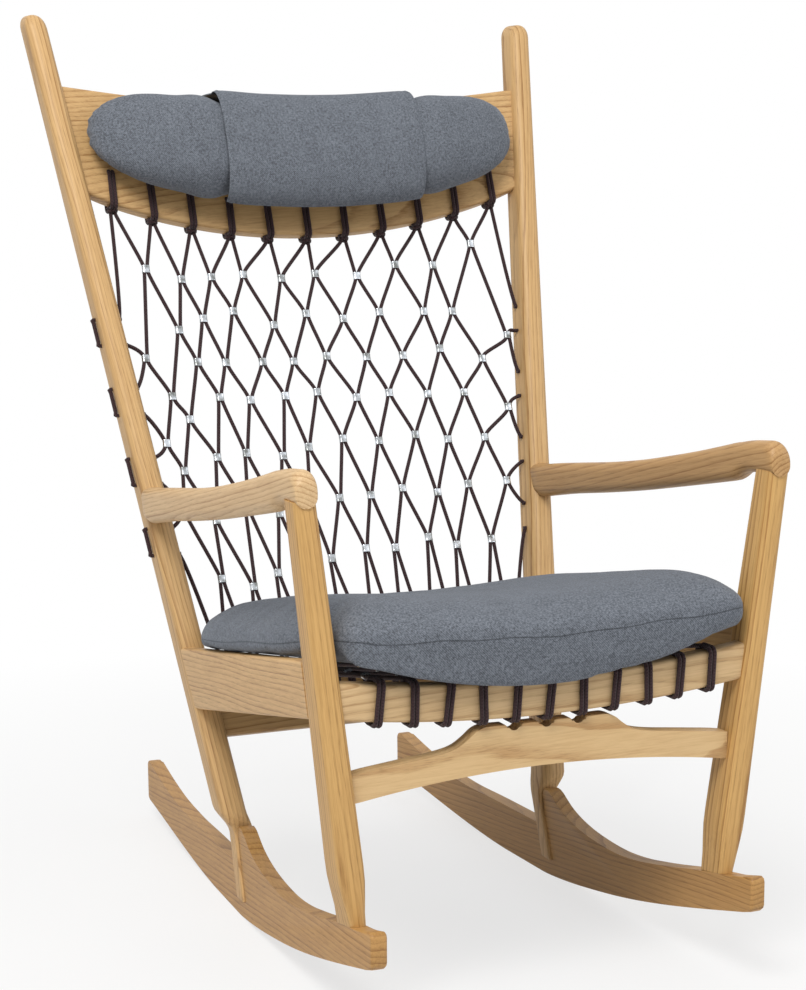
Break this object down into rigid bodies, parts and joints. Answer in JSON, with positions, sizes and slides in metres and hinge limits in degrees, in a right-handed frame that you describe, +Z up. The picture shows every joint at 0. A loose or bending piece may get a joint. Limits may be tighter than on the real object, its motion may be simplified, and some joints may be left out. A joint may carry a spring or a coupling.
{
  "type": "rocking lounge chair",
  "caption": "Wooden rocking lounge chair with a laced cord back and seat deck, a loose seat cushion and a head cushion hung over the top rail.",
  "frame": {"origin": "middle of the footprint, on the floor", "axes": "+Z up, the chair faces -Y, the sitter's left is +X"},
  "size_m": [0.7046, 0.9088, 1.08],
  "materials": {
    "ash": "satin",
    "pale_ash": "satin",
    "beech": "matte",
    "cord": "matte",
    "cloth": "matte",
    "bar": "matte"
  },
  "bodies": {
    "frame": {"rocker_left": "ash", "rocker_right": "ash", "back_post_left": "ash", "back_post_right": "ash", "front_leg_left": "ash", "front_leg_right": "ash", "arm_left": "ash", "arm_right": "ash", "seat_side_rail_left": "ash", "seat_side_rail_right": "ash", "rear_seat_rail": "ash", "top_rail": "ash", "front_seat_rail": "pale_ash", "front_stretcher": "pale_ash", "foot_dowel_left": "beech", "foot_dowel_right": "beech", "arm_dowel_left": "beech", "arm_dowel_right": "beech", "back_net": "cord", "seat_deck": "cord"},
    "seat_cushion": {"seat_cushion": "cloth"},
    "head_cushion": {"head_cushion": "cloth", "head_cushion_saddle": "cloth", "head_counterweight": "bar"}
  },
  "joints": [
    {"name": "seat_cushion_lift", "type": "slide", "parent": "frame", "child": "seat_cushion", "axis": [0, 0, 1], "range_m": [0, 0.08]},
    {"name": "head_cushion_lift", "type": "slide", "parent": "frame", "child": "head_cushion", "axis": [0, 0.3582, 0.9337], "range_m": [0, 0.12]}
  ]
}
